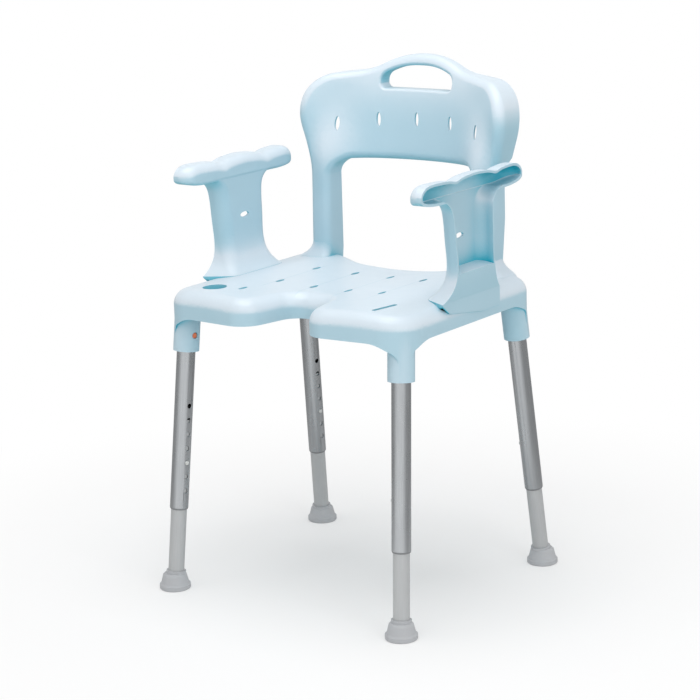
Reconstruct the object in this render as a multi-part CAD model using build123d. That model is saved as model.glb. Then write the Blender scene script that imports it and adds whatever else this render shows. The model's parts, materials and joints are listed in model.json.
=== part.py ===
"""Shower chair: a moulded seat on four telescopic legs, with clip-in back and arm supports.

Millimetres, +Z up, floor at Z = 0, origin under the middle of the footprint, front towards -Y.
Left is -X and right is +X, as seen by someone who stands in front of the chair.
"""

import os
from math import cos, radians, sin, sqrt, tan

from build123d import *

# Mouldings and fits
wall = 4.0                      # wall of the seat and arm mouldings
fit_gap = 0.3                   # play between pieces that clip together
tube_gap = 0.2                  # radial play of a tube in its socket or bush
hole_gap = 0.4                  # radial play of a button in its hole

# Legs: foot positions on the floor, and how far each leg leans in per mm of height
front_foot = (237.8, -220.5)
rear_foot = (241.8, 220.5)
front_lean = (0.038, 0.096)
rear_lean = (0.043, 0.116)
button_turn = 11.5              # buttons face inwards, turned this many degrees to the front

# Leg tubes, with heights measured along the leg from the floor
outer_tube_od = 32.0
outer_tube_wall = 1.5
outer_tube_low = 145.0
outer_tube_top = 500.0
inner_tube_od = 27.6
inner_tube_wall = 1.8
inner_tube_low = 6.0
bush_lip = 3.0
bush_length = 24.0
hole_count = 7
hole_pitch = 25.0
lowest_hole = 176.2
button_hole = 2                 # the hole, counted from the lowest, that holds the button
height_button_d = 7.6
inner_tube_above_button = 75.0
lock_button_d = 10.4
lock_button_height = 450.0
button_head = 2.5               # thickness of the collar that keeps a button in its tube
button_collar = 2.0             # how far that collar reaches past the button
spring_width = 6.0
spring_thickness = 0.8
spring_length = 42.0            # from the button to the bend
spring_knee = 8.0
spring_tail = 4.0
height_button_out = 1.5         # how far each tip stands out of the outer tube
lock_button_out = 5.0

# Rubber foot
foot_d = 54.0
foot_height = 32.0
foot_rim = 8.0
foot_collar_d = 34.0
foot_sole = 5.5

# Seat
seat_half_width = 247.0
seat_front = -217.0
front_corner_back = 8.0         # how far the front corners lie behind the front edge
seat_rear = 192.0
seat_waist = 152.0              # rear edge between the back posts
seat_waist_half = 78.0
seat_post_half = 148.0          # where the rear edge turns in
seat_top = 524.5                # middle of the sitting surface
seat_rise = 5.0                 # how much higher the thighs lie than the middle
seat_side_drop = 2.5            # side edges below the middle
seat_skirt = 483.0              # lower edge of the skirt
seat_edge_r = 26.0
front_corner_r = 56.0
rear_corner_r = 34.0
recess_end = -114.0
recess_end_half = 37.0
recess_mouth_half = 59.0
recess_end_r = 34.0
horn_r = 42.0
horn_reach = 5.0                # how far the horns beside the recess stand out
socket_od = 44.5
socket_low = 421.4              # along the leg
socket_top = 506.0
socket_boss = 4.5               # extra wall of the socket inside the seat
arch_depth = 75.0
arch_front = ((-26.0, 0.0), (8.0, 17.6), (14.0, None))    # steps from the leg's middle, and drops
arch_front_radii = (64.0, 20.0, 0.0)
arch_side = ((30.0, 0.0), (-3.0, 14.0), (-8.0, None))
arch_side_radii = (88.0, 14.0, 0.0)
rib_wall = 3.0
rib_depth = 12.0
rib_places_x = (-72.0, 72.0)
rib_places_y = (-90.0, 10.0, 110.0)
drain_length = 23.0
drain_width = 8.0
drain_places = (
    (-112.0, 53.0), (-37.0, 64.0), (37.0, 64.0), (112.0, 53.0),
    (-106.0, -61.0), (-35.5, -59.0), (35.5, -59.0), (106.0, -61.0), (-123.0, -142.0),
)
hand_hole_d = 42.0
hand_hole_place = (-171.7, -157.7)
hand_hole_depth = 22.0          # wall round the hole, under the seat
cloth_slot_length = 57.0
cloth_slot_width = 7.5
cloth_slot_place = (175.8, -155.0)
cloth_slot_turn = 8.0

# Back support
back_front = 210.3              # front face in the middle of the panel
back_radius = 330.0
back_recline = 1.5
back_curl = 14.0                # how far the top bends back in 100 mm above the slots
back_slot_height = 777.0
back_top = 889.5
post_front = 143.0
post_inner = 151.0
post_outer = 192.0
post_rear = 190.0
post_blend_x = (95.0, 172.0)
post_blend_z = (690.0, 800.0)
back_rear = 234.0
back_rear_radius = 764.0
back_rear_lean = 7.0
window_rear_radius = 281.0       # rear edge of the panel above the window
panel_low = 704.0
panel_corner_r = 26.0
back_wall = 4.5
back_edge_r = 14.0
handle_edge_r = 5.0
slot_length = 25.0
slot_width = 8.0
slot_places = ((0.0, 777.2), (75.0, 775.0), (144.7, 767.6))
peg_inset = 7.0
peg_depth = 34.0
flare_height = 26.0             # foot of each post above the seat
flare_front = 9.0
flare_outer = 22.0
flare_inset = 0.5               # top of the flare inside the post

# Arm supports
arm_outer = 252.0               # open side of the grip and the column
arm_inner = 220.0               # side towards the sitter
arm_edge_r = 22.0               # upright edges of the column and the foot
grip_edge_r = 17.0              # long upper edge towards the sitter
grip_low_r = 6.0                # long lower edge towards the sitter
grip_front = -157.0
grip_rear = 149.0
grip_tip = 24.0                 # length over which each end rounds off
grip_low = 693.5                # underside of the grip
grip_droop = 3.5                # underside of the grip rises towards its ends
grip_valleys = (-168.0, -54.0, 66.0, 160.0)     # where the arcs of the top meet
grip_valley_height = 724.5
grip_crests = (5.0, 7.0, 5.0)   # rise of each arc above the valleys
grip_root_r = 30.0
grip_root_turn = 65.0           # how far the flare under the grip turns outwards
column_front = -68.5            # front of the column under the grip
column_rear = 58.5
column_lean = 0.129             # how far the front of the column comes back per mm further down
column_inset = 0.8              # the column lies this much behind the grip's side
column_low = 600.0              # where the column starts to flare
arm_foot_outer = 248.0
arm_foot_inner = 198.0
arm_foot_front = -67.5          # inner front corner of the foot
arm_foot_tip = -95.0           # outer front corner of the foot
arm_foot_rear = 79.0
arm_foot_top = 529.0
arm_foot_low = 497.0
arm_foot_rise = 14.0            # the foot's lower edge is this much higher in front
arm_floor = 570.0               # floor of the outer pocket at its rim
arm_floor_fall = 13.0
arm_slot = (24.0, 9.0)
arm_slot_place = (-6.0, 627.0)


def smooth(value, start, end):
    """Go smoothly from 0 at start to 1 at end."""
    t = min(max((value - start) / (end - start), 0.0), 1.0)
    return t * t * (3 - 2 * t)


def mirror_points(points):
    """Close a right-hand half outline with its mirror image."""
    return points + [(-x, y) for x, y in reversed(points)]


def mirror_radii(radii):
    return radii + list(reversed(radii))


def face_of(points, radii):
    """Face inside a closed outline with rounded corners."""
    return make_face(FilletPolyline(*points, radius=radii, close=True))


def prism_x(face_yz, low, high):
    """Sweep an outline drawn in Y and Z from low to high along X."""
    return extrude(Plane.YZ.offset(low) * face_yz, high - low)


def prism_y(face_xz, low, high):
    """Sweep an outline drawn in X and Z from low to high along Y."""
    return extrude(Plane.XZ.offset(-low) * face_xz, low - high)


def prism_z(face_xy, low, high):
    return extrude(Pos(0, 0, low) * face_xy, high - low)


# Legs

def leg_frame(side, end):
    """Plane at the foot of one leg: its Z runs up the leg and its X points where the buttons face."""
    foot, lean = (front_foot, front_lean) if end == "front" else (rear_foot, rear_lean)
    sign = -1 if side == "left" else 1
    middle = 1 if end == "front" else -1
    up = Vector(-sign * lean[0], middle * lean[1], 1).normalized()
    facing = Vector(-sign * cos(radians(button_turn)), -sin(radians(button_turn)), 0)
    facing = (facing - up * facing.dot(up)).normalized()
    return Plane((sign * foot[0], foot[1], 0), x_dir=facing, z_dir=up)


def rod(radius, low, high):
    return Pos(0, 0, low) * extrude(Circle(radius), high - low)


def tube(outside, bore, low, high):
    return Pos(0, 0, low) * extrude(Circle(outside) - Circle(bore), high - low)


def side_hole(radius, height, start, end):
    """Round bar across the leg, on the side where the buttons face."""
    return Pos(start, 0, height) * Rot(0, 90, 0) * extrude(Circle(radius), end - start)


outer_r = outer_tube_od / 2
outer_bore_r = outer_r - outer_tube_wall
inner_r = inner_tube_od / 2
inner_bore_r = inner_r - inner_tube_wall
hole_heights = [lowest_hole + hole_pitch * i for i in range(hole_count)]
button_height = hole_heights[button_hole]


def make_outer_tube():
    body = tube(outer_r, outer_bore_r, outer_tube_low, outer_tube_top)
    for height in hole_heights:
        body -= side_hole(height_button_d / 2 + hole_gap, height, 0, outer_r + 1)
    return body - side_hole(lock_button_d / 2 + hole_gap, lock_button_height, 0, outer_r + 1)


def make_bush():
    """Plastic guide in the lower end of the outer tube, with a tapered lip under it."""
    bore = inner_r + tube_gap
    sleeve = outer_bore_r - 0.05
    profile = Polyline(
        (bore, outer_tube_low - bush_lip), (outer_r - 1.4, outer_tube_low - bush_lip),
        (outer_r - 0.2, outer_tube_low - 1), (outer_r - 0.2, outer_tube_low),
        (sleeve, outer_tube_low), (sleeve, outer_tube_low + bush_length),
        (bore, outer_tube_low + bush_length), close=True,
    )
    return revolve(Plane.XZ * make_face(profile), Axis.Z)


def make_inner_tube():
    body = tube(inner_r, inner_bore_r, inner_tube_low, button_height + inner_tube_above_button)
    return body - side_hole(height_button_d / 2 + hole_gap, button_height, 0, inner_r + 1)


def collar_face(diameter, bore_r):
    """Distance from the leg's middle at which a button's collar meets the bore."""
    return sqrt(bore_r ** 2 - (diameter / 2 + button_collar) ** 2) - tube_gap / 2


def make_button(diameter, height, bore_r, tip):
    """Push button with a bevelled tip and a collar behind the wall that it looks out of."""
    face = collar_face(diameter, bore_r)
    body = side_hole(diameter / 2, height, face - button_head, tip)
    body = chamfer(body.edges().sort_by(Axis.X)[-1], 1.2)
    return body + side_hole(diameter / 2 + button_collar, height, face - button_head, face)


def make_clip(diameter, height, bore_r, direction):
    """Bent leaf spring: one arm behind the button, one along the far side of the tube."""
    front = collar_face(diameter, bore_r) - button_head - spring_thickness / 2
    rear = spring_thickness / 2 + tube_gap - sqrt(bore_r ** 2 - (spring_width / 2) ** 2)
    middle = (front + rear) / 2
    tail = height - direction * spring_tail
    knee = height + direction * spring_knee
    bend = height + direction * spring_length
    path = FilletPolyline(
        (front, tail), (front, knee), (middle + 2, bend), (middle - 2, bend), (rear, knee), (rear, tail),
        radius=[6, 1.5, 1.5, 6])
    strip = trace(path, spring_thickness)
    return extrude(Plane.XZ * strip, spring_width / 2, both=True)


def make_foot(frame):
    """Rubber ferrule: a round sole, a bell and a short collar along the leaning leg."""
    radius = foot_d / 2
    collar = foot_collar_d / 2
    shoulder = foot_height - 4
    outline = Polyline(
        (0, 0), (radius - 1.5, 0), (radius, 1.5), (radius, foot_rim), (radius - 3, foot_rim + 3),
        (collar + 3.5, shoulder - 3), (collar + 0.5, shoulder), (0, shoulder), close=True,
    )
    profile = make_face(outline)
    bell = Pos(frame.origin) * revolve(Plane.XZ * profile, Axis.Z)
    sleeve = frame.location * rod(collar, foot_sole, foot_height)
    return bell + sleeve - frame.location * rod(inner_r, inner_tube_low, foot_height + 1)


# Seat

def seat_plan():
    """Outline from above: a recess at the front, and a waist between the back posts."""
    half = [
        (recess_end_half, recess_end), (recess_mouth_half, seat_front - horn_reach),
        (seat_half_width, seat_front + front_corner_back), (seat_half_width, seat_rear),
        (seat_post_half, seat_rear), (seat_waist_half, seat_waist),
    ]
    radii = [recess_end_r, horn_r, front_corner_r, rear_corner_r, 50, 70]
    return face_of(mirror_points(half), mirror_radii(radii))


def seat_section(drop):
    """Cross-section from the front: thighs a little higher than the middle, sides falling off."""
    crown = [
        (-seat_half_width, seat_top - seat_side_drop), (-0.76 * seat_half_width, seat_top + seat_rise),
        (-0.45 * seat_half_width, seat_top + seat_rise), (0, seat_top),
        (0.45 * seat_half_width, seat_top + seat_rise), (0.76 * seat_half_width, seat_top + seat_rise),
        (seat_half_width, seat_top - seat_side_drop),
    ]
    top = Spline(*[(x, z - drop) for x, z in crown])
    base = Polyline(top @ 1, (seat_half_width, seat_skirt), (-seat_half_width, seat_skirt), top @ 0)
    return make_face(top.edges() + base.edges())


def seat_block(inset):
    """Seat body as a solid, or the hollow under it when inset by the wall."""
    plan = seat_plan() if inset == 0 else offset(seat_plan(), -inset)
    body = prism_z(plan, seat_skirt, seat_top + 2 * seat_rise)
    body &= prism_y(seat_section(inset), seat_front - 2 * horn_reach, seat_rear + 1)
    rim = body.faces().sort_by(Axis.Z)[-1].edges()
    return chamfer(rim, 0.62 * (seat_edge_r - inset)) if inset else fillet(rim, seat_edge_r)


def leg_point(side, end, height):
    """Middle of a leg at a height above the floor."""
    frame = leg_frame(side, end)
    return frame.origin + frame.z_dir * (height / frame.z_dir.Z)


def leg_arches():
    """Openings between the legs that leave a tongue of skirt outside each socket."""
    low = seat_skirt - arch_depth
    across = leg_point("right", "front", seat_skirt).X
    half = [(across + step, low if drop is None else seat_skirt - drop) for step, drop in arch_front]
    front = face_of(mirror_points(half), mirror_radii(list(arch_front_radii)))
    ends = []
    for end, way in (("front", 1), ("rear", -1)):
        middle = leg_point("right", end, seat_skirt).Y
        ends.append([
            (middle + way * step, low if drop is None else seat_skirt - drop) for step, drop in arch_side])
    side = face_of(ends[0] + ends[1][::-1], mirror_radii(list(arch_side_radii)))
    reach = 2 * seat_half_width
    return prism_y(front, -reach, reach), prism_x(side, -reach, reach)


def both_sides(*right_hand):
    """The given solids with their mirror images on the left."""
    return Part() + [*right_hand, *(mirror(solid, Plane.YZ) for solid in right_hand)]


def make_seat():
    """Hollow moulding with a skirt, ribs, leg sockets and pockets for the back and the arms."""
    plan = seat_plan()
    solid = seat_block(0)
    body = solid - seat_block(wall)

    ribs = Part()
    for x in rib_places_x:
        ribs += Pos(x, 0, seat_top) * Box(rib_wall, 2 * seat_half_width, 2 * rib_depth)
    for y in rib_places_y:
        ribs += Pos(0, y, seat_top) * Box(2 * seat_half_width, rib_wall, 2 * rib_depth)
    body += ribs & seat_block(wall / 2)

    # Sockets run up to the top plate, and tongues of skirt run down outside them
    low = seat_skirt - arch_depth
    zone = solid + prism_z(offset(plan, socket_od), low, seat_skirt)
    skin = prism_z(plan - offset(plan, -wall), low, seat_skirt)
    core = prism_z(plan, low, seat_skirt)
    tongues = Part()
    sockets = Part()
    bores = Part()
    for side in ("left", "right"):
        for end in ("front", "rear"):
            place = leg_frame(side, end).location
            above = place * Pos(0, 0, socket_low) * Box(
                4 * socket_od, 5 * socket_od, 3 * socket_od, align=(Align.CENTER, Align.CENTER, Align.MIN))
            fill = core & place * rod(socket_od * 0.65, socket_low, socket_top)
            tongues += (skin + fill) & above
            sockets += place * rod(socket_od / 2, socket_low, socket_top + 3 * wall)
            boss_r = socket_od / 2 + socket_boss
            sockets += place * rod(boss_r, seat_skirt + socket_boss, socket_top + 3 * wall)
            bores += place * rod(outer_r + tube_gap, socket_low - 1, outer_tube_top + fit_gap)
            bores += place * side_hole(lock_button_d / 2 + hole_gap, lock_button_height, 0, socket_od)
    for arch in leg_arches():
        tongues -= arch
    body += tongues
    body += sockets & zone

    hand_hole = Pos(*hand_hole_place, seat_top - hand_hole_depth)
    body += hand_hole * extrude(Circle(hand_hole_d / 2 + wall), hand_hole_depth + seat_rise) & solid

    # Pockets that the arm supports and the back posts clip into
    body += both_sides(arm_pocket(fit_gap + wall), post_pocket(fit_gap + wall)) & solid
    cuts = bores + both_sides(arm_pocket(fit_gap), post_pocket(fit_gap))

    slots = [Pos(*place) * Ellipse(drain_width / 2, drain_length / 2) for place in drain_places]
    cloth_slot = SlotOverall(cloth_slot_length, cloth_slot_width, 90 - cloth_slot_turn)
    slots.append(Pos(*cloth_slot_place) * cloth_slot)
    slots.append(Pos(*hand_hole_place) * Circle(hand_hole_d / 2))
    cuts += [prism_z(slot, seat_skirt, seat_top + 2 * seat_rise) for slot in slots]
    return body - cuts


# Back support

def back_depth(x, z):
    """Y of the front face: a hollow panel, with the posts coming forward below it."""
    lean = tan(radians(back_recline))
    above = z - back_slot_height
    panel = back_front - back_radius + sqrt(back_radius ** 2 - x ** 2) + above * lean
    panel += back_curl * max(above / 100, 0) ** 2
    post = post_front + (z - seat_top) * lean
    share = smooth(abs(x), *post_blend_x) * (1 - smooth(z, *post_blend_z))
    return panel + share * (post - panel)


def back_face():
    """Spline surface through the depth formula, wider and taller than the support."""
    columns = [(post_outer + 40) * (i / 8 - 1) for i in range(17)]
    rows = [seat_top - 45 + 45 * i for i in range(11)]
    return Face.make_surface_from_array_of_points([[(x, back_depth(x, z), z) for x in columns] for z in rows])


def back_outline(inset=0.0):
    """Front view: shoulders round a raised handle, and two posts."""
    half = [
        (40, back_top), (98, 861.5), (207, 850), (216, 778), (post_outer, 690), (post_outer, seat_top - 20),
        (post_inner, seat_top - 20), (post_inner, panel_low),
    ]
    face = face_of(mirror_points(half), mirror_radii([160, 120, 60, 110, 110, 0, 0, panel_corner_r]))
    return offset(face, -inset) if inset else face


def handle_outline(grow=0.0):
    half = [(74, 829), (75, 853), (36, 870)]
    face = face_of(mirror_points(half), mirror_radii([10, 17, 140]))
    return offset(face, grow) if grow else face


def post_pocket(grow):
    """Space in the seat for the peg under the right-hand post."""
    width = post_outer - post_inner - 2 * peg_inset
    depth = post_rear - post_front - 2 * peg_inset
    peg = RectangleRounded(width + 2 * grow, depth + 2 * grow, 4)
    middle = Pos((post_inner + post_outer) / 2, (post_front + post_rear) / 2, 0)
    return middle * prism_z(peg, seat_top - peg_depth - grow, seat_top + 2 * wall)


def front_of(body):
    """Spline face of the back that looks to the front."""
    return body.faces().filter_by(GeomType.BSPLINE).sort_by(SortBy.AREA)[-2:].sort_by(Axis.Y)[0]


def back_body(inset=0.0):
    """Panel and posts round the handle as one solid, or the hollow in them when inset by the wall."""
    body = extrude(Pos(0, inset, 0) * back_face(), 200, dir=(0, 1, 0)) & prism_y(back_outline(inset), 0, 500)
    rim = front_of(body).outer_wire().edges().filter_by(lambda edge: edge.center().Z > seat_top)
    body = fillet(rim, back_edge_r - inset)
    return body - prism_y(handle_outline(inset), 0, 500)


def post_foot(height, share):
    """Cross-section of the flared foot of the right-hand post, with its share of the flare."""
    low = (post_inner + flare_inset, post_front + flare_inset - share * flare_front)
    high = (post_outer - flare_inset + share * flare_outer, post_rear - flare_inset)
    face = RectangleRounded(high[0] - low[0], high[1] - low[1], back_edge_r)
    return Pos((low[0] + high[0]) / 2, (low[1] + high[1]) / 2, seat_top + seat_rise + height) * face


def make_back(solid_seat):
    """Shell with a rolled rim, open to the rear, on two posts with pegs that clip into the seat."""
    body = back_body()
    body = fillet(front_of(body).inner_wires()[0].edges(), handle_edge_r)
    rear = Pos(0, back_rear, back_slot_height) * Rot(-back_rear_lean, 0, 0) * Pos(0, -back_rear_radius, 0)
    body &= rear * Cylinder(back_rear_radius, 800)
    notch = Polyline(
        (post_rear, 0), (post_rear, panel_low + 10), (back_rear + 20, panel_low + 74),
        (back_rear + 99, panel_low + 74), (back_rear + 99, 0), close=True)
    window_rear = Pos(0, back_rear - window_rear_radius, panel_low) * Cylinder(window_rear_radius, 600)
    body -= prism_x(make_face(notch), -300, 300) - window_rear
    cuts = back_body(back_wall) & prism_z(Rectangle(600, 600), seat_top + flare_height, 1000)
    for x, z in slot_places:
        for place in {x, -x}:
            cuts += prism_y(Pos(place, z) * Ellipse(slot_width / 2, slot_length / 2), 0, 300)
    body -= cuts

    steps = [(-24, 1.3), (-6, 1.3), (0, 1.0), (6, 0.58), (13, 0.25), (20, 0.07), (flare_height, 0)]
    flare = loft([post_foot(height, share) for height, share in steps])
    body += flare
    body += mirror(flare, Plane.YZ)
    body -= solid_seat
    peg = post_pocket(0)
    return body + peg + mirror(peg, Plane.YZ)


# Arm supports

def column_front_at(height):
    return column_front + column_lean * (grip_low - height)


def grip_top(y):
    """Height of the grip: three shallow arcs that meet in narrow valleys."""
    for low, high, crest in zip(grip_valleys, grip_valleys[1:], grip_crests):
        if low <= y <= high:
            share = (2 * y - low - high) / (high - low)
            return grip_valley_height + crest * (1 - share ** 2)


def grip_section(y, inset):
    """Cross-section of the grip, smaller and rounder towards its ends."""
    end = min(y - grip_front, grip_rear - y) - inset
    share = sqrt(1 - max(1 - end / grip_tip, 0) ** 2)
    droop = grip_droop * smooth(abs(y - (grip_front + grip_rear) / 2), 100, 150)
    low = grip_low + droop + inset
    high = grip_top(y) - inset
    middle = low + 0.42 * (high - low)
    high = middle + (high - middle) * share
    low = middle + (low - middle) * share ** 0.75
    outer = arm_outer + (1 if inset else 0)
    inner = arm_outer - (arm_outer - arm_inner) * (0.2 + 0.8 * share) + inset
    round_r = min(grip_edge_r - inset, 0.6 * (high - low), 0.8 * (outer - inner))
    low_r = min(grip_low_r - inset, 0.25 * (high - low))
    corners = [(outer, low), (outer, high), (inner, high), (inner, low)]
    return Plane.XZ.offset(-y) * face_of(corners, [0, 0, round_r, low_r])


def grip_body(inset=0.0):
    """Grip as a solid, or the hollow in it when inset by the wall."""
    front, rear = grip_front + inset, grip_rear - inset
    ends = (0.4, 1.5, 4, 8, 14, grip_tip)
    middle = (-112, -88, -66, -54, -42, -20, 6, 32, 54, 66, 78, 100)
    places = [*(front + step for step in ends), *middle, *(rear - step for step in reversed(ends))]
    return loft([grip_section(y, inset) for y in places])


def arm_section(height, share, root=0.0, inset=0.0, closed=True):
    """Cross-section of the column, with its share of the flare of the foot, or its root in the grip."""

    def between(column, foot):
        return column + (foot - column) * share

    front = column_front_at(height) - root
    outer = between(arm_outer, arm_foot_outer) - (inset if closed else -1)
    inner = between(arm_inner + column_inset, arm_foot_inner) + inset
    rear = between(column_rear + root, arm_foot_rear) - inset
    corners = [
        (outer, between(front, arm_foot_tip) + inset), (inner, between(front, arm_foot_front) + inset),
        (inner, rear), (outer, rear),
    ]
    return Pos(0, 0, height) * face_of(corners, [0, arm_edge_r - inset, arm_edge_r - inset, 0])


def arm_column(inset=0.0, closed=True):
    """Column from its flared foot to the roots in the grip."""
    rise = (column_low - arm_foot_top) / 100
    flare = [(0, 1.0), (11, 0.66), (25, 0.38), (42, 0.17), (62, 0.05), (85, 0)]
    stations = [(arm_foot_top + step * rise, share, 0) for step, share in flare]
    start = grip_low - grip_root_r * sin(radians(grip_root_turn))
    stations += [(column_low + 20, 0, 0), (start, 0, 0)]
    for turn in (25, 45, grip_root_turn):
        root = grip_root_r * (1 - cos(radians(turn)))
        stations.append((start + grip_root_r * sin(radians(turn)), 0, root))
    reach = 4 + inset
    stations.append((grip_low + reach, 0, root + reach * tan(radians(grip_root_turn))))
    return loft([arm_section(*station, inset, closed) for station in stations])


def foot_outline(grow=0.0):
    """Side view in Y and Z of the foot inside the seat."""
    top = arm_foot_top + 30
    corners = [
        (arm_foot_rear, top), (arm_foot_rear, arm_foot_low), (21.5, arm_foot_low),
        (arm_foot_tip + 20, arm_foot_low + arm_foot_rise), (arm_foot_tip, arm_foot_top - 2),
        (arm_foot_tip, top),
    ]
    face = face_of(corners, [0, 2, 30, 4, 2, 0])
    return offset(face, grow) if grow else face


def arm_pocket(grow):
    """Space in the seat for the foot of the right-hand arm, open to the side."""
    slope = (arm_foot_tip - arm_foot_front) / (arm_foot_outer - arm_foot_inner)
    far = arm_foot_outer + 40
    corners = [
        (far, arm_foot_tip + 40 * slope), (arm_foot_inner, arm_foot_front), (arm_foot_inner, arm_foot_rear),
        (far, arm_foot_rear),
    ]
    plan = face_of(corners, [0, arm_edge_r, arm_edge_r, 0])
    if grow:
        plan = offset(plan, grow)
    return prism_x(foot_outline(grow), arm_foot_inner - 20, far) & prism_z(plan, 400, arm_foot_top + 20)


def above_floor(drop):
    """Room above the sloping floor of the outer pocket, or above a level that much lower."""
    floor = Polyline(
        (arm_inner - 30, arm_floor + arm_floor_fall - drop), (arm_outer + 9, arm_floor - drop),
        (arm_outer + 9, 800), (arm_inner - 30, 800), close=True)
    return prism_y(make_face(floor), -300, 300)


def make_arm():
    """Right-hand arm support: a thin moulding that is open to the outside."""
    body = grip_body() + arm_column()
    foot = extrude(arm_section(arm_foot_top, 1), -60)
    body += foot & prism_x(foot_outline(), arm_foot_inner - 1, arm_foot_outer + 1)

    # Hollow grip and column above a floor that drains outwards, and a hollow foot that is open below
    body -= (grip_body(wall) + arm_column(wall, False)) & above_floor(0)
    body -= arm_column(wall) - above_floor(wall)
    body -= extrude(arm_section(arm_foot_top, 1, 0, wall), -60)
    slot = Pos(*arm_slot_place) * Ellipse(arm_slot[0] / 2, arm_slot[1] / 2)
    return body - prism_x(slot, arm_inner - 5, arm_inner + 3 * wall)



# Export

seat = make_seat()
arm = make_arm()
parts = {
    "seat": seat,
    "back_support": make_back(seat_block(0)),
    "arm_support_left": mirror(arm, Plane.YZ),
    "arm_support_right": arm,
}
for end in ("front", "rear"):
    for side in ("left", "right"):
        name = f"{end}_{side}"
        frame = leg_frame(side, end)
        height_button = (height_button_d, button_height, inner_bore_r)
        lock_button = (lock_button_d, lock_button_height, outer_bore_r)
        pieces = {
            "outer_tube": make_outer_tube(),
            "guide_bush": make_bush(),
            "inner_tube": make_inner_tube(),
            "height_button": make_button(*height_button, outer_r + height_button_out),
            "height_spring": make_clip(*height_button, 1),
            "lock_button": make_button(*lock_button, outer_r + lock_button_out),
            "lock_spring": make_clip(*lock_button, 1),
        }
        for piece, shape in pieces.items():
            parts[f"{piece}_{name}"] = frame.location * shape
        parts[f"foot_{name}"] = make_foot(frame)

os.makedirs("parts", exist_ok=True)
for node, shape in parts.items():
    export_step(shape, f"parts/{node}.step")
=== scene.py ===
import json
import math

import bmesh
import bpy
from mathutils import Matrix, Vector

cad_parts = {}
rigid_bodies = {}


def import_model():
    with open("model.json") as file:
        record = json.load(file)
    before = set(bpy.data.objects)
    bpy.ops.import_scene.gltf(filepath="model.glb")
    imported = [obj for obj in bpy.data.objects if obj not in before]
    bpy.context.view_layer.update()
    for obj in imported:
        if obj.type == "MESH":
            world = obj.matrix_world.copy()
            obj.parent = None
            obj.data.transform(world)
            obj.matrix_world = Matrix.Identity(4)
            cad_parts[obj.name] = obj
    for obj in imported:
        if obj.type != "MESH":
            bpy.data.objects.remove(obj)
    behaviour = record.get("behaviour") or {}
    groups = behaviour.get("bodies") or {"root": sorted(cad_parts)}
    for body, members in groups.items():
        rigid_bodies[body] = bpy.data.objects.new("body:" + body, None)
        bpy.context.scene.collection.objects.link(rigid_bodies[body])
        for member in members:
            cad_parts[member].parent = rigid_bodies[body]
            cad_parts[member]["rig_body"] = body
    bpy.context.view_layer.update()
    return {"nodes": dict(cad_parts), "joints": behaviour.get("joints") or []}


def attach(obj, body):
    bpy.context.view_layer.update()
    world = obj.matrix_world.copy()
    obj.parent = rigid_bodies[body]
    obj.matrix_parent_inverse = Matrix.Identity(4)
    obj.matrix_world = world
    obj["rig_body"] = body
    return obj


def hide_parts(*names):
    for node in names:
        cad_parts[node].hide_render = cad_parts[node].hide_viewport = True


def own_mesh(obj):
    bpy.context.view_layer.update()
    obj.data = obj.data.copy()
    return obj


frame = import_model()


# Seat
# One polypropylene moulding with a satin, spark-eroded skin: top plate, skirt, leg sockets and ribs.
# Its front recess, drain slots, round hole and cloth slot are moulded with it, and four fine grooves
# run over its top from front to back.

scene = bpy.context.scene


def linear(red, green, blue):
    """Colour written as screen values from 0 to 255, as the shader wants it."""
    def channel(value):
        value /= 255
        return value / 12.92 if value <= 0.04045 else ((value + 0.055) / 1.055) ** 2.4
    return (channel(red), channel(green), channel(blue), 1.0)


def feed(tree, node, inputs):
    """Set a node's inputs to fixed values or to other nodes' outputs, and give what the node puts out."""
    for socket, source in inputs.items():
        if isinstance(source, bpy.types.NodeSocket):
            tree.links.new(source, node.inputs[socket])
        else:
            node.inputs[socket].default_value = source
    return node.outputs


def calculate(tree, operation, *sources):
    """Result of one step of arithmetic."""
    node = tree.nodes.new("ShaderNodeMath")
    node.operation = operation
    return feed(tree, node, dict(enumerate(sources)))[0]


def spread(tree, source, ends, results=(0.0, 1.0), easing="LINEAR"):
    """Value that goes from one result to the other as its source goes from one end to the other."""
    node = tree.nodes.new("ShaderNodeMapRange")
    node.interpolation_type = easing
    labels = ("Value", "From Min", "From Max", "To Min", "To Max")
    return feed(tree, node, dict(zip(labels, (source, *ends, *results))))["Result"]


def axes_of(tree, vector):
    """X, Y and Z of a vector."""
    return feed(tree, tree.nodes.new("ShaderNodeSeparateXYZ"), {"Vector": vector})


def object_place(tree):
    """Place on the piece, in metres."""
    return tree.nodes.new("ShaderNodeTexCoord").outputs["Object"]


def new_group(name, inputs, outputs):
    """Empty shader group with named value inputs and outputs."""
    group = bpy.data.node_groups.new(name, "ShaderNodeTree")
    for label, default in inputs.items():
        socket = group.interface.new_socket(label, in_out="INPUT", socket_type="NodeSocketFloat")
        socket.default_value = default
    for label in outputs:
        group.interface.new_socket(label, in_out="OUTPUT", socket_type="NodeSocketFloat")
    entry = group.nodes.new("NodeGroupInput")
    leave = group.nodes.new("NodeGroupOutput")
    return group, entry.outputs, leave.inputs


def noise_outputs(group, result, noises):
    """Noises of a group, each put out under its own name."""
    for label, settings in noises.items():
        noise = feed(group, group.nodes.new("ShaderNodeTexNoise"), settings)
        group.links.new(noise["Fac"], result[label])


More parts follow.
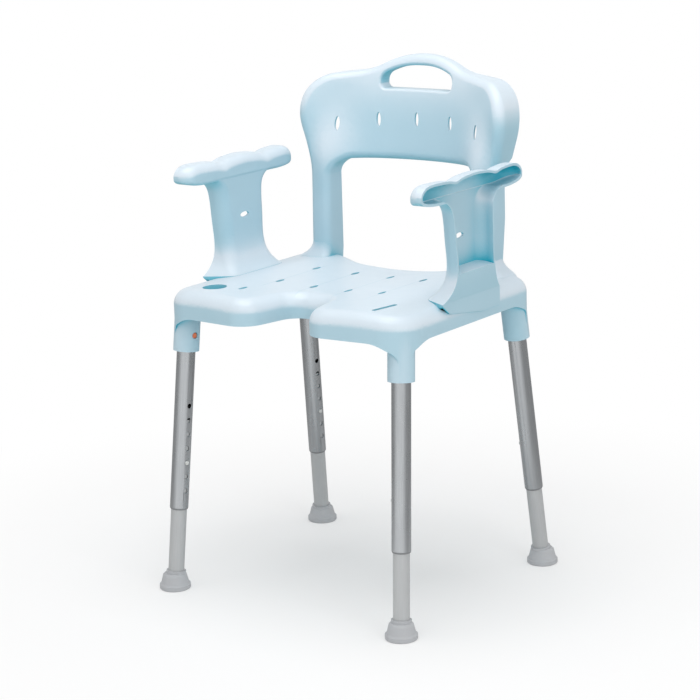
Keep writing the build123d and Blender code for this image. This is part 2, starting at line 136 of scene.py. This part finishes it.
def make_moulded_skin():
    """Fine even grain of a spark-eroded mould, broad flow marks, and how far a face looks up or down."""
    flow_marks_per_metre = 7.0
    sheen_patches_per_metre = 38.0
    # The normal's Z where a tilt starts to count and where it counts in full
    tilts = {"Upward": (-0.12, 0.36), "Downward": (-0.2, -0.9)}
    outputs = ("Height", "Flow", "Sheen", *tilts)
    group, given, result = new_group("moulded_skin", {"Grain Size": 0.0006}, outputs)
    place = object_place(group)
    grains_per_metre = calculate(group, "DIVIDE", 1.0, given["Grain Size"])
    noise_outputs(group, result, {
        "Height": {"Vector": place, "Scale": grains_per_metre, "Detail": 2.0, "Roughness": 0.6},
        "Flow": {"Vector": place, "Scale": flow_marks_per_metre, "Detail": 3.0, "Distortion": 0.6},
        "Sheen": {"Vector": place, "Scale": sheen_patches_per_metre, "Detail": 4.0},
    })
    tilt = axes_of(group, group.nodes.new("ShaderNodeNewGeometry").outputs["Normal"])["Z"]
    for label, ends in tilts.items():
        group.links.new(spread(group, tilt, ends, easing="SMOOTHSTEP"), result[label])
    return group


moulded_skin = make_moulded_skin()


def make_seat_grooves():
    """Four fine grooves that run from front to back through the rows of drain slots.
    Each pair of places, in metres, is where a change starts and where it is full."""
    groove_edge = (0.0004, 0.0016)
    front_end = (-0.12, -0.095)
    rear_end = (0.07, 0.09)
    seat_top = (0.5, 0.505)
    darkest = 0.35
    away = (1.0, 0.0)
    offsets = {"Inner": 0.036, "Outer": 0.109}
    group, given, result = new_group("seat_grooves", offsets, ("Height", "Shade"))
    place = axes_of(group, object_place(group))
    aside = calculate(group, "ABSOLUTE", place["X"])
    inner = calculate(group, "ABSOLUTE", calculate(group, "SUBTRACT", aside, given["Inner"]))
    outer = calculate(group, "ABSOLUTE", calculate(group, "SUBTRACT", aside, given["Outer"]))
    line = spread(group, calculate(group, "MINIMUM", inner, outer), groove_edge, away)
    behind_front = spread(group, place["Y"], front_end)
    before_rear = spread(group, place["Y"], rear_end, away)
    on_top = spread(group, place["Z"], seat_top)
    stretch = calculate(group, "MULTIPLY", behind_front, before_rear)
    groove = calculate(group, "MULTIPLY", calculate(group, "MULTIPLY", line, on_top), stretch)
    group.links.new(calculate(group, "SUBTRACT", 1.0, groove), result["Height"])
    # Share of painted shade along the grooves.
    group.links.new(calculate(group, "MULTIPLY", groove, darkest), result["Shade"])
    return group


def placed(tree, group, inputs):
    """Outputs of a shader group that is placed in a material with its own values."""
    node = tree.nodes.new("ShaderNodeGroup")
    node.node_tree = group
    return feed(tree, node, inputs)


def ramp(tree, noise, first, second):
    """Blend of two colours, or two grey values, over the middle of a noise, where most of its values lie."""
    noise_middle = (0.3, 0.7)
    node = tree.nodes.new("ShaderNodeValToRGB")
    for stop, position, colour in zip(node.color_ramp.elements, noise_middle, (first, second)):
        stop.position = position
        stop.color = colour if isinstance(colour, tuple) else (colour, colour, colour, 1.0)
    return feed(tree, node, {"Fac": noise})["Color"]


def raised(tree, height, strength, depth, under=None):
    """Normal of a relief, laid over a finer one where there is one."""
    relief = {"Height": height, "Strength": strength, "Distance": depth}
    if under is not None:
        relief["Normal"] = under
    return feed(tree, tree.nodes.new("ShaderNodeBump"), relief)["Normal"]


def blended(tree, share, colour, other):
    """Colour that gives way to another one by a share."""
    blend = tree.nodes.new("ShaderNodeMix")
    blend.data_type = "RGBA"
    return feed(tree, blend, {"Factor": share, "A": colour, "B": other})["Result"]


def hollow_share(tree, upward):
    """Share of painted shade, from 0 in the open to 1 deep in hollows and along seams, and to less on floors
    that face up.
    """
    reach = 0.045
    openness = (0.9, 0.4)
    floor_share = 0.3
    room = tree.nodes.new("ShaderNodeAmbientOcclusion")
    room.samples = 8
    openly = feed(tree, room, {"Distance": reach})["AO"]
    most = spread(tree, upward, (0.0, 1.0), (1.0, floor_share))
    return spread(tree, openly, openness, (0.0, most))


def new_material(name):
    """Material with its node tree and its shader."""
    material = bpy.data.materials.new(name)
    material.use_nodes = True
    return material, material.node_tree, material.node_tree.nodes["Principled BSDF"]


def moulded_plastic(
        name, deep, pale, roughness, grain_size, grain_depth,
        painted_shade_below=None, painted_light_above=None, painted_hollow_shade=None, grooves=None):
    """Coloured plastic with a moulded skin: two close shades, uneven sheen and fine grain.
    Faces that look down may get painted shade, faces that look up painted light, and hollows, seams and
    grooves painted shade."""
    grain_strength = 0.25
    groove_strength = 0.6
    groove_depth = 0.0006
    sheen_spread = 0.04
    material, tree, shader = new_material(name)
    skin = placed(tree, moulded_skin, {"Grain Size": grain_size})
    colour = ramp(tree, skin["Flow"], deep, pale)
    normal = raised(tree, skin["Height"], grain_strength, grain_depth)
    # Painted shade: faces that look down get a darker, deeper colour.
    if painted_shade_below:
        colour = blended(tree, skin["Downward"], colour, painted_shade_below)
    # Painted light: faces that look up get a paler colour.
    if painted_light_above:
        colour = blended(tree, skin["Upward"], colour, painted_light_above)
    # Painted shade in hollows and along seams, from ambient occlusion.
    if painted_hollow_shade:
        colour = blended(tree, hollow_share(tree, skin["Upward"]), colour, painted_hollow_shade)
    if grooves:
        lines = placed(tree, grooves, {})
        # Painted shade along the grooves, towards the deeper tone.
        colour = blended(tree, lines["Shade"], colour, deep)
        normal = raised(tree, lines["Height"], groove_strength, groove_depth, under=normal)
    feed(tree, shader, {
        "Base Color": colour,
        "Roughness": ramp(tree, skin["Sheen"], roughness - sheen_spread, roughness + sheen_spread),
        "Normal": normal,
        "IOR": 1.49,
    })
    return material


def dressed(node, material, edge=0.0005):
    """Smooth copy of a solid: joined triangles, rounded shading and a fine break on the sharp edges."""
    same_place = 2e-6
    sharp_angle = math.radians(32.0)
    mesh = bpy.data.meshes.new(node + "_surface")
    work = bmesh.new()
    work.from_mesh(frame["nodes"][node].data)
    bmesh.ops.remove_doubles(work, verts=work.verts, dist=same_place)
    for face in work.faces:
        face.smooth = True
    for line in work.edges:
        line.smooth = len(line.link_faces) == 2 and line.calc_face_angle() < sharp_angle
    work.to_mesh(mesh)
    work.free()
    mesh.materials.append(material)
    piece = bpy.data.objects.new(node + "_dressed", mesh)
    scene.collection.objects.link(piece)
    if edge:
        bevel = piece.modifiers.new("edge_break", "BEVEL")
        bevel.width = edge
        bevel.segments = 2
        bevel.limit_method = "ANGLE"
        bevel.angle_limit = sharp_angle
        normals = piece.modifiers.new("even_normals", "WEIGHTED_NORMAL")
        normals.keep_sharp = True
    body = frame["nodes"][node]["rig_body"]
    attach(piece, body)
    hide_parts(node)
    return piece


aqua_shades = {
    "deep": linear(160, 196, 210),
    "pale": linear(165, 200, 214),
    # painted shade for faces that look down
    "painted_shade_below": linear(122, 186, 201),
    # painted light for faces that look up
    "painted_light_above": linear(203, 215, 224),
    # painted shade for hollows and seams
    "painted_hollow_shade": linear(12, 176, 198),
    "roughness": 0.36,
    "grain_size": 0.0006,
    "grain_depth": 0.00012,
}
grooved_aqua = moulded_plastic("grooved_polypropylene", grooves=make_seat_grooves(), **aqua_shades)
dressed("seat", grooved_aqua)


# Back support
# Polypropylene shell with a rolled rim, a carrying handle and five drain slots, open to the rear.
# Two posts with pegs clip it into the rear of the seat.

aqua = moulded_plastic("aqua_polypropylene", **aqua_shades)
dressed("back_support", aqua)


# Arm supports
# T-shaped polypropylene mouldings with a waved grip, hollow and open to the outside.
# Each foot clips into a pocket at the side of the seat and ends flush with the seat's skirt.

for side in ("left", "right"):
    dressed("arm_support_" + side, aqua)


# Outer leg tubes
# Drawn aluminium tube, satin anodised in its natural grey, with seven height holes drilled on the inner side.
# Each tube is pushed into a socket of the seat and held there by its lock button.

legs = ("front_left", "front_right", "rear_left", "rear_right")
tube_edge = 0.0003


def make_drawn_lines():
    """Fine streaks along a drawn tube, set upright by the tube's lean, and broad faint clouds."""
    streaks_per_metre = 1400.0
    drawn_out = 0.012
    clouds_per_metre = 26.0
    group, given, result = new_group("drawn_lines", {"Lean X": 0.0, "Lean Y": 0.0}, ("Streak", "Cloud"))
    place = object_place(group)
    spot = axes_of(group, place)
    upright = {
        "X": calculate(group, "MULTIPLY_ADD", spot["Z"], given["Lean X"], spot["X"]),
        "Y": calculate(group, "MULTIPLY_ADD", spot["Z"], given["Lean Y"], spot["Y"]),
        "Z": calculate(group, "MULTIPLY", spot["Z"], drawn_out),
    }
    along = feed(group, group.nodes.new("ShaderNodeCombineXYZ"), upright)["Vector"]
    noise_outputs(group, result, {
        "Streak": {"Vector": along, "Scale": streaks_per_metre, "Detail": 3.0},
        "Cloud": {"Vector": place, "Scale": clouds_per_metre, "Detail": 3.0},
    })
    return group


drawn_lines = make_drawn_lines()


def joint_named(name):
    """The frame's row of one joint."""
    return next(joint for joint in frame["joints"] if joint["name"] == name)


def drawn_tube(name, leg, dark, light, roughness, metallic):
    """Tube metal with streaks that follow the lean of one leg."""
    streak_strength = 0.08
    streak_depth = 0.00005
    cloud_spread = 0.03
    up = joint_named("leg_height_" + leg)["axis"]
    material, tree, shader = new_material(f"{name}_{leg}")
    lines = placed(tree, drawn_lines, {"Lean X": -up[0] / up[2], "Lean Y": -up[1] / up[2]})
    feed(tree, shader, {
        "Base Color": ramp(tree, lines["Streak"], dark, light),
        "Roughness": ramp(tree, lines["Cloud"], roughness - cloud_spread, roughness + cloud_spread),
        "Normal": raised(tree, lines["Streak"], streak_strength, streak_depth),
        "Metallic": metallic,
    })
    return material


anodised_finish = {
    "dark": linear(164, 167, 170), "light": linear(180, 183, 185), "roughness": 0.28, "metallic": 0.95}
for leg in legs:
    metal = drawn_tube("anodised_tube", leg, **anodised_finish)
    dressed("outer_tube_" + leg, metal, edge=tube_edge)


# Guide bushes
# Grey plastic guides in the lower ends of the outer tubes, which the inner tubes run through.
# Only the tapered lip of each one shows, below the end of its tube.

small_edge = 0.0002
bush_plastic = moulded_plastic(
    "bush_plastic", linear(120, 122, 124), linear(128, 130, 132),
    roughness=0.5, grain_size=0.0005, grain_depth=0.0001)
for leg in legs:
    dressed("guide_bush_" + leg, bush_plastic, edge=small_edge)


# Inner leg tubes
# Thinner tubes with a matt light grey finish, each with a hole that its height button looks out of.
# They slide in the outer tubes and set the height of the seat.

matt_finish = {
    "dark": linear(176, 178, 179), "light": linear(184, 186, 187), "roughness": 0.5, "metallic": 0.25}
for leg in legs:
    matt = drawn_tube("matt_tube", leg, **matt_finish)
    dressed("inner_tube_" + leg, matt, edge=tube_edge)


# Feet
# Grey rubber ferrules, moulded as a bell with a wide flat sole.
# Each is pushed onto the lower end of an inner tube.

rubber = moulded_plastic(
    "foot_rubber", linear(172, 174, 177), linear(178, 180, 183),
    roughness=0.62, grain_size=0.0009, grain_depth=0.0003)
for leg in legs:
    dressed("foot_" + leg, rubber)


# Height buttons and their springs
# Pale plastic buttons, pushed out by bent leaf springs of steel inside the inner tubes.
# They click into the height holes of the outer tubes, and a leg slides when its button is pressed in.

button_skin = {"grain_size": 0.0004, "grain_depth": 0.00008}
pale_button = moulded_plastic(
    "pale_button", linear(196, 198, 196), linear(206, 208, 206), roughness=0.45, **button_skin)

steel_specks_per_metre = 7000.0
spring_steel, steel_tree, steel_shader = new_material("spring_steel")
steel_pattern = {"Vector": object_place(steel_tree), "Scale": steel_specks_per_metre}
steel_noise = feed(steel_tree, steel_tree.nodes.new("ShaderNodeTexNoise"), steel_pattern)["Fac"]
feed(steel_tree, steel_shader, {
    "Base Color": ramp(steel_tree, steel_noise, linear(150, 150, 152), linear(176, 176, 178)),
    "Metallic": 1.0,
    "Roughness": 0.35,
})


def flattened(spring):
    """Gives the leaf spring a mesh of its own."""
    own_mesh(spring)


for leg in legs:
    dressed("height_button_" + leg, pale_button, edge=small_edge)
    leaf = dressed("height_spring_" + leg, spring_steel, edge=0)
    flattened(leaf)


# Lock buttons and their springs
# Orange plastic buttons on leaf springs in the upper ends of the outer tubes.
# They look out of the seat's sockets on the inner side and hold the tubes in the seat.

orange_button = moulded_plastic(
    "orange_button", linear(222, 112, 72), linear(232, 124, 84), roughness=0.4, **button_skin)
for leg in legs:
    dressed("lock_button_" + leg, orange_button, edge=small_edge)
    leaf = dressed("lock_spring_" + leg, spring_steel, edge=0)
    flattened(leaf)


# Studio
# A pale floor that fades into white away from the object, and a white sky that is brightest at the horizon.
# A large soft light hangs overhead, and two smaller ones stand on the right and in front.

floor_half = 12.0
floor_mesh = bpy.data.meshes.new("floor")
floor_work = bmesh.new()
bmesh.ops.create_grid(floor_work, x_segments=1, y_segments=1, size=floor_half)
floor_work.to_mesh(floor_mesh)
floor_work.free()
floor = bpy.data.objects.new("floor", floor_mesh)
scene.collection.objects.link(floor)


def vector_step(tree, operation, *sources):
    """Outputs of one step of vector arithmetic."""
    node = tree.nodes.new("ShaderNodeVectorMath")
    node.operation = operation
    return feed(tree, node, dict(enumerate(sources)))


fade_reach = (0.3, 1.15)
white_shares = (0.36, 1.0)
# For reflected rays the floor glows brighter in front of the object than to its sides: a painted reflection
# that gives the tubes their highlight.
mirror_front = (0.306, -0.952, 0.0)
mirror_width = (0.35, 1.0)
mirror_levels = (0.42, 1.25)

floor_paint, floor_tree, floor_shader = new_material("floor_paint")
feed(floor_tree, floor_shader, {
    "Base Color": (0.88, 0.88, 0.88, 1.0), "Roughness": 0.9, "Specular IOR Level": 0.1})
floor_place = object_place(floor_tree)
floor_rays = floor_tree.nodes.new("ShaderNodeLightPath").outputs

floor_reach = vector_step(floor_tree, "LENGTH", floor_place)["Value"]
floor_fade = spread(floor_tree, floor_reach, fade_reach, white_shares, "SMOOTHSTEP")
floor_seen = calculate(floor_tree, "MAXIMUM", floor_rays["Is Camera Ray"], floor_rays["Is Glossy Ray"])
floor_share = calculate(floor_tree, "MULTIPLY", floor_fade, floor_seen)

floor_way = vector_step(floor_tree, "NORMALIZE", floor_place)["Vector"]
floor_front = vector_step(floor_tree, "DOT_PRODUCT", floor_way, mirror_front)["Value"]
floor_mirror = spread(floor_tree, floor_front, mirror_width, mirror_levels, "SMOOTHSTEP")
floor_level = feed(floor_tree, floor_tree.nodes.new("ShaderNodeMix"), {
    "Factor": floor_rays["Is Glossy Ray"], "A": 1.0, "B": floor_mirror})["Result"]
floor_white = feed(floor_tree, floor_tree.nodes.new("ShaderNodeEmission"), {"Strength": floor_level})[0]
floor_mix = feed(floor_tree, floor_tree.nodes.new("ShaderNodeMixShader"), {
    "Fac": floor_share, 1: floor_shader.outputs[0], 2: floor_white})[0]
feed(floor_tree, floor_tree.nodes["Material Output"], {"Surface": floor_mix})
floor_mesh.materials.append(floor_paint)

sky_heights = (0.1, 0.75)
sky_levels = (1.02, 0.45)
rear_gain = -0.08
mean_gain = 0.98
world = bpy.data.worlds.new("studio")
world.use_nodes = True
sky_tree = world.node_tree
sky_way = axes_of(sky_tree, sky_tree.nodes.new("ShaderNodeTexCoord").outputs["Generated"])
sky_fade = spread(sky_tree, sky_way["Z"], sky_heights, sky_levels, "SMOOTHSTEP")
sky_gain = calculate(sky_tree, "MULTIPLY_ADD", sky_way["Y"], rear_gain, mean_gain)
feed(sky_tree, sky_tree.nodes["Background"], {
    "Color": (1.0, 1.0, 1.0, 1.0), "Strength": calculate(sky_tree, "MULTIPLY", sky_fade, sky_gain)})
scene.world = world
scene.view_settings.view_transform = "Standard"


def soft_light(name, place, aim, size, power):
    """Square softbox that looks at a point."""
    lamp = bpy.data.lights.new(name, "AREA")
    lamp.shape = "SQUARE"
    lamp.size = size
    lamp.energy = power
    light = bpy.data.objects.new(name, lamp)
    light.location = place
    light.rotation_euler = (Vector(aim) - Vector(place)).to_track_quat("-Z", "Y").to_euler()
    scene.collection.objects.link(light)


soft_light("overhead", place=(0.0, -0.2, 3.4), aim=(0.0, 0.0, 0.4), size=2.2, power=54.0)
soft_light("right", place=(2.9, -1.3, 1.6), aim=(0.0, 0.0, 0.6), size=1.4, power=17.0)
soft_light("front", place=(0.4, -0.9, 1.9), aim=(0.0, 0.2, 0.8), size=0.9, power=4.5)


# Camera
# Seen from the front right, a little above the seat, as in the reference view.
# Its place, its long lens and its slight roll were fitted to that view.

azimuth = math.radians(35.77)
elevation = math.radians(13.551)
roll = math.radians(-1.693)
distance = 3.7894
target = Vector((0.0, -0.0095, 0.4084))
back = Vector((
    math.sin(azimuth) * math.cos(elevation), -math.cos(azimuth) * math.cos(elevation), math.sin(elevation)))
level = Vector((math.cos(azimuth), math.sin(azimuth), 0.0))
upright = back.cross(level)
right = math.cos(roll) * level + math.sin(roll) * upright
up = math.cos(roll) * upright - math.sin(roll) * level
turn = Matrix((right, up, back)).transposed().to_4x4()
camera_data = bpy.data.cameras.new("camera")
camera_data.sensor_fit = "HORIZONTAL"
camera_data.sensor_width = 36.0
camera_data.lens = 113.67
camera = bpy.data.objects.new("camera", camera_data)
camera.matrix_world = Matrix.Translation(target + back * distance) @ turn
scene.collection.objects.link(camera)
scene.camera = camera
